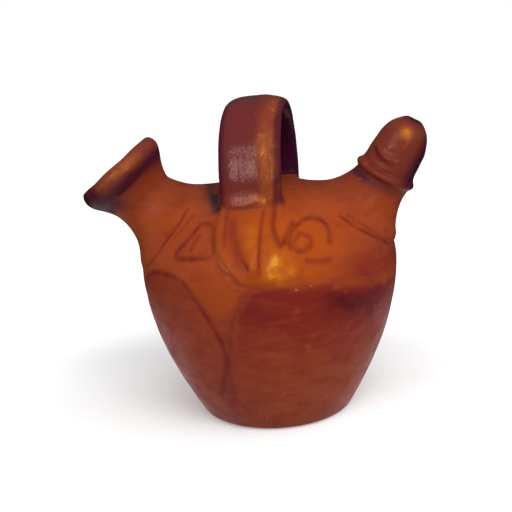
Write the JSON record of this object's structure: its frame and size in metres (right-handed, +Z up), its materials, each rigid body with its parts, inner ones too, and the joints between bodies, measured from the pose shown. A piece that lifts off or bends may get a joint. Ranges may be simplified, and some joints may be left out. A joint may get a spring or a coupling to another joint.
{
  "type": "pouring jug",
  "caption": "Glazed red-brown earthenware water jug with a flared filling mouth, a beaded pouring spout and a strap handle.",
  "frame": {"origin": "centre of the flat base, on the surface that the jug stands on", "axes": "+Z up along the body's axis, +X towards the pouring spout, -X towards the filling mouth, -Y the side with the decorated handle foot"},
  "size_m": [0.2114, 0.1598, 0.198],
  "materials": {
    "glazed_clay": "gloss"
  },
  "bodies": {
    "root": {"jug": "glazed_clay"}
  },
  "joints": []
}
